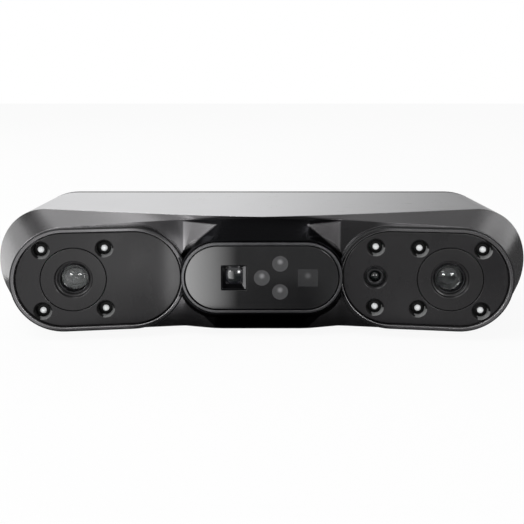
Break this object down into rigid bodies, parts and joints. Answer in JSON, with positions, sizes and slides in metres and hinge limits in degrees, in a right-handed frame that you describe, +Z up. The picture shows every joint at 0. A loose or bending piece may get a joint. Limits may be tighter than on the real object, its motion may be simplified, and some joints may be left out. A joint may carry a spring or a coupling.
{
  "type": "three-d scanner",
  "caption": "Hand-held stereo three-d scanner bar: toed-in cameras with fill lights at both ends, a projector window between, and push buttons behind.",
  "frame": {"origin": "under the middle of the body, on the flat underside that it stands on", "axes": "+X along the length, +Y from the lenses to the rear buttons, +Z up"},
  "size_m": [0.204, 0.0609, 0.0435],
  "materials": {
    "sleeve_metal": "satin anodised, grey",
    "casing_metal": "satin, near black",
    "cover_plastic": "fine texture, black",
    "plate_plastic": "satin, black",
    "lens_glass": "coated, polished",
    "window_glass": "polished, black",
    "black_metal": "anodised, black",
    "lamp_resin": "clear resin, white when lit",
    "circuit_board": "green solder mask",
    "bare_aluminium": "machined",
    "steel": "plated",
    "button_rubber": "soft touch, dark grey",
    "ribbon_film": "amber film",
    "light_pipe": "frosted, clear"
  },
  "bodies": {
    "scanner_body": {"colour_camera_barrel": "black_metal", "colour_camera_glass": "lens_glass", "cover_screw_1": "steel", "cover_screw_2": "steel", "cover_screw_3": "steel", "cover_screw_4": "steel", "emitter_block": "bare_aluminium", "front_casing": "casing_metal", "heat_sink": "bare_aluminium", "housing_sleeve": "sleeve_metal", "infrared_flood_light": "circuit_board", "laser_module_1": "black_metal", "laser_module_2": "black_metal", "laser_module_3": "black_metal", "left_camera_plate": "plate_plastic", "left_camera_ribbon": "ribbon_film", "left_lamp_1": "lamp_resin", "left_lamp_2": "lamp_resin", "left_lamp_3": "lamp_resin", "left_lamp_4": "lamp_resin", "left_lamp_board": "circuit_board", "left_lens_barrel": "black_metal", "left_lens_bezel": "plate_plastic", "left_lens_glass": "lens_glass", "left_lens_holder": "black_metal", "left_sensor_board": "circuit_board", "main_board": "circuit_board", "optical_bench": "bare_aluminium", "pattern_projector": "black_metal", "power_data_socket": "steel", "projector_lens": "lens_glass", "projector_window": "window_glass", "rear_cover": "cover_plastic", "right_camera_plate": "plate_plastic", "right_camera_ribbon": "ribbon_film", "right_lamp_1": "lamp_resin", "right_lamp_2": "lamp_resin", "right_lamp_3": "lamp_resin", "right_lamp_4": "lamp_resin", "right_lamp_5": "lamp_resin", "right_lamp_6": "lamp_resin", "right_lamp_board": "circuit_board", "right_lens_barrel": "black_metal", "right_lens_bezel": "plate_plastic", "right_lens_glass": "lens_glass", "right_lens_holder": "black_metal", "right_sensor_board": "circuit_board", "status_light_pipe": "light_pipe", "tripod_socket": "steel", "window_ring": "casing_metal"},
    "scan_button": {"scan_button": "button_rubber"},
    "plus_button": {"plus_button": "button_rubber"},
    "minus_button": {"minus_button": "button_rubber"}
  },
  "joints": [
    {"name": "scan_button_press", "type": "slide", "parent": "scanner_body", "child": "scan_button", "axis": [0, -1, 0], "range_m": [0, 0.0008], "stiffness_N_per_m": 1500, "springref_m": -0.0005},
    {"name": "plus_button_press", "type": "slide", "parent": "scanner_body", "child": "plus_button", "axis": [0, -1, 0], "range_m": [0, 0.0008], "stiffness_N_per_m": 1500, "springref_m": -0.0005},
    {"name": "minus_button_press", "type": "slide", "parent": "scanner_body", "child": "minus_button", "axis": [0, -1, 0], "range_m": [0, 0.0008], "stiffness_N_per_m": 1500, "springref_m": -0.0005}
  ]
}
